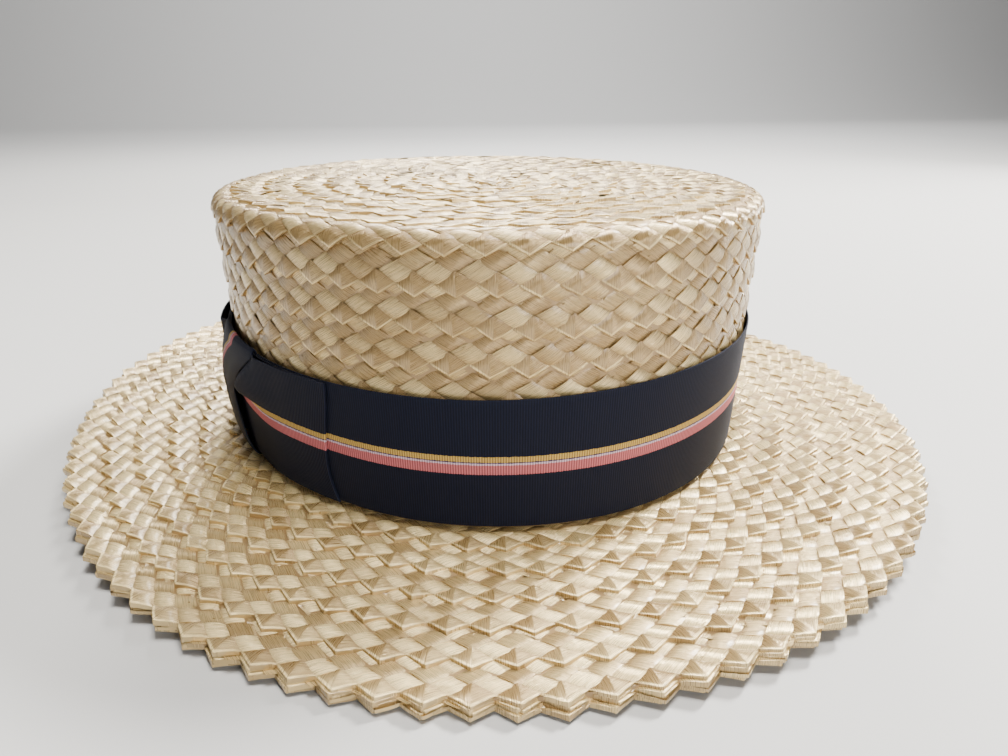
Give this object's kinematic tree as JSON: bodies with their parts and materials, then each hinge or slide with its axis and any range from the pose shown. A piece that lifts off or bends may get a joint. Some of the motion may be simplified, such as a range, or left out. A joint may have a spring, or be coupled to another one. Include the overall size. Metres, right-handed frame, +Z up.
{
  "type": "straw boater hat",
  "caption": "Stiff straw hat with a flat round crown, a flat toothed brim and a dark striped ribbon tied in a flat side bow.",
  "frame": {"origin": "on the surface that the brim rests on, below the middle of the brim", "axes": "+Z up through the crown, +Y to the front of the hat, -X to the wearer's left, where the bow is"},
  "size_m": [0.2924, 0.3236, 0.0884],
  "materials": {
    "straw": "plaited split straw, stiffened with a clear satin varnish",
    "facing_straw": "plaited split straw, stiffened with a clear satin varnish",
    "ribbon": "ribbed black ribbon with a narrow gold, white and pink stripe woven along it"
  },
  "bodies": {
    "root": {"crown": "straw", "brim": "straw", "brim_facing": "facing_straw", "hatband": "ribbon", "bow_rear_loop": "ribbon", "bow_front_loop": "ribbon", "bow_knot": "ribbon"}
  },
  "joints": []
}
